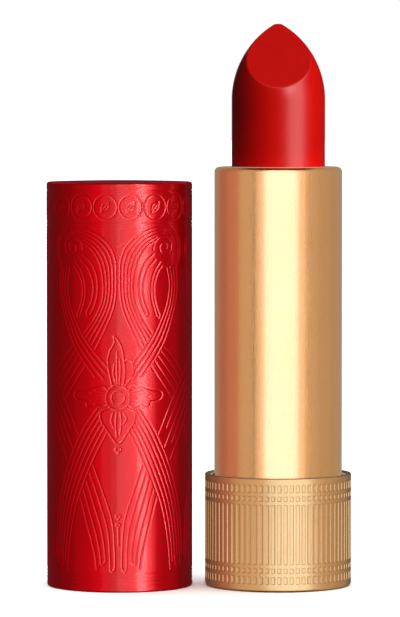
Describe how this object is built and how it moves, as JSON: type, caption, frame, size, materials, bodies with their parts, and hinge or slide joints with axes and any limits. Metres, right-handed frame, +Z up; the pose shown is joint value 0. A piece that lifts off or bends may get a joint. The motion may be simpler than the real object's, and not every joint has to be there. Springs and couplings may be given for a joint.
{
  "type": "lipstick case",
  "caption": "Turn-up lipstick case: knurled gold knob and plain gold sleeve raise a slant-cut red bullet, with a red engraved cap standing beside it.",
  "frame": {"origin": "centre of the knob's flat foot, on the surface that the lipstick and its cap stand on", "axes": "+Z up along the turning axis, towards the bullet's tip; the cap stands at -X; the bullet's cut face looks along -Y"},
  "size_m": [0.0395, 0.019, 0.0729],
  "materials": {
    "red_anodised": "red anodised, polished and engraved",
    "dark_plastic": "moulded",
    "steel": "turned",
    "gold_knob": "gold anodised, satin",
    "grey_plastic": "moulded",
    "label": "blank label stock",
    "white_plastic": "moulded acetal",
    "gold_sleeve": "gold anodised, fine vertical brushing",
    "rubber": "silicone",
    "pomade": "satin wax"
  },
  "bodies": {
    "base": {"knob_shell": "gold_knob", "knob_insert": "grey_plastic", "base_weight": "steel", "shade_label": "label", "slotted_barrel": "white_plastic", "thrust_washer": "steel"},
    "sleeve": {"sleeve_shell": "gold_sleeve", "helical_cam": "white_plastic", "brake_ring": "rubber"},
    "carrier": {"carrier_cup": "white_plastic", "bullet": "pomade"},
    "cap": {"cap_shell": "red_anodised", "cap_liner": "dark_plastic", "cap_weight": "steel"}
  },
  "joints": [
    {"name": "sleeve_turn", "type": "hinge", "parent": "base", "child": "sleeve", "pos_m": [0, 0, 0.0146], "axis": [0, 0, 1], "range_deg": [0, 495]},
    {"name": "bullet_lift", "type": "slide", "parent": "base", "child": "carrier", "axis": [0, 0, 1], "range_m": [-0.022, 0]},
    {"name": "cap_lift", "type": "slide", "parent": "base", "child": "cap", "axis": [0, 0, 1], "range_m": [0, 0.08]}
  ],
  "couplings": [
    {"joint": "bullet_lift", "follows": "sleeve_turn", "m_per_rad": -0.0025465}
  ]
}
